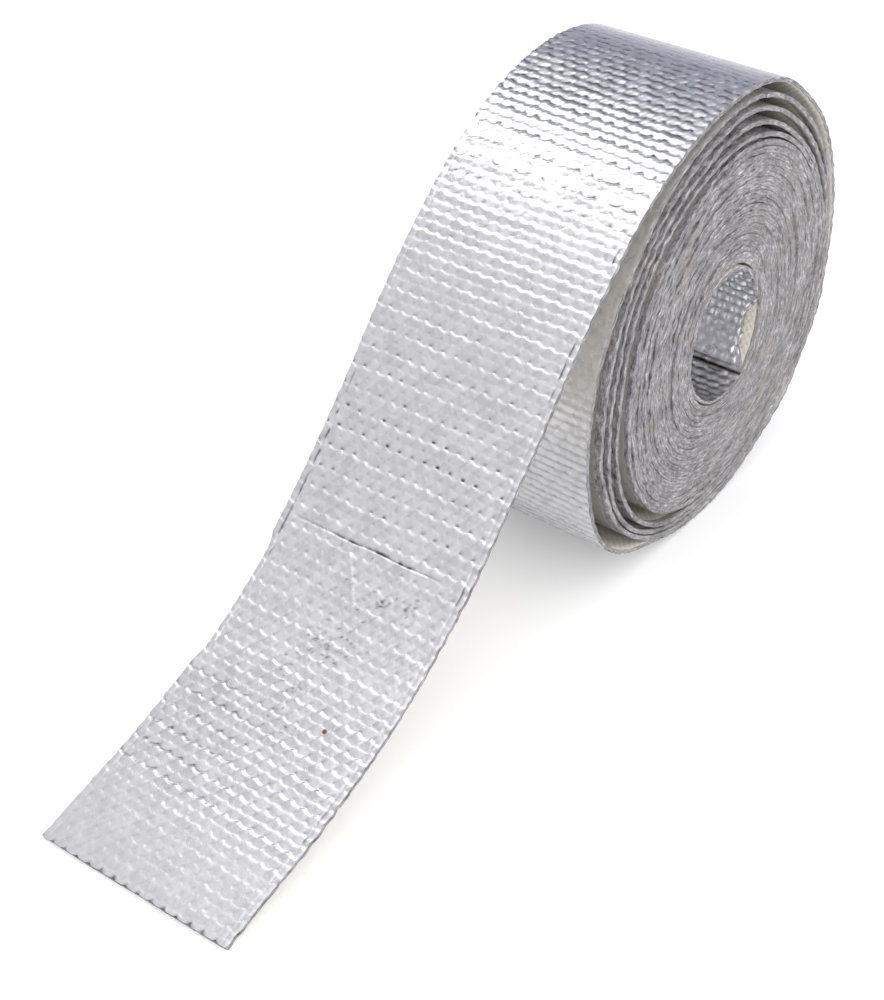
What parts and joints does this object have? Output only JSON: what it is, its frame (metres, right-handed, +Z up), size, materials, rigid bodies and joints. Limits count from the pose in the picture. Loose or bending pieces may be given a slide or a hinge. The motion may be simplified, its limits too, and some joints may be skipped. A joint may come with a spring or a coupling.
{
  "type": "heat shield tape roll",
  "caption": "Roll of foil-faced woven glass heat shield tape standing on its rim, outer turns loose, free end curving down to the floor.",
  "frame": {"origin": "middle of the whole length and width, on the floor that the roll's rim and the free end stand on", "axes": "+X along the roll's axis (tape width), +Y from the free end towards the roll, +Z up"},
  "size_m": [0.05, 0.229, 0.1139],
  "materials": {
    "tape": "satin"
  },
  "bodies": {
    "root": {"tape": "tape"}
  },
  "joints": []
}
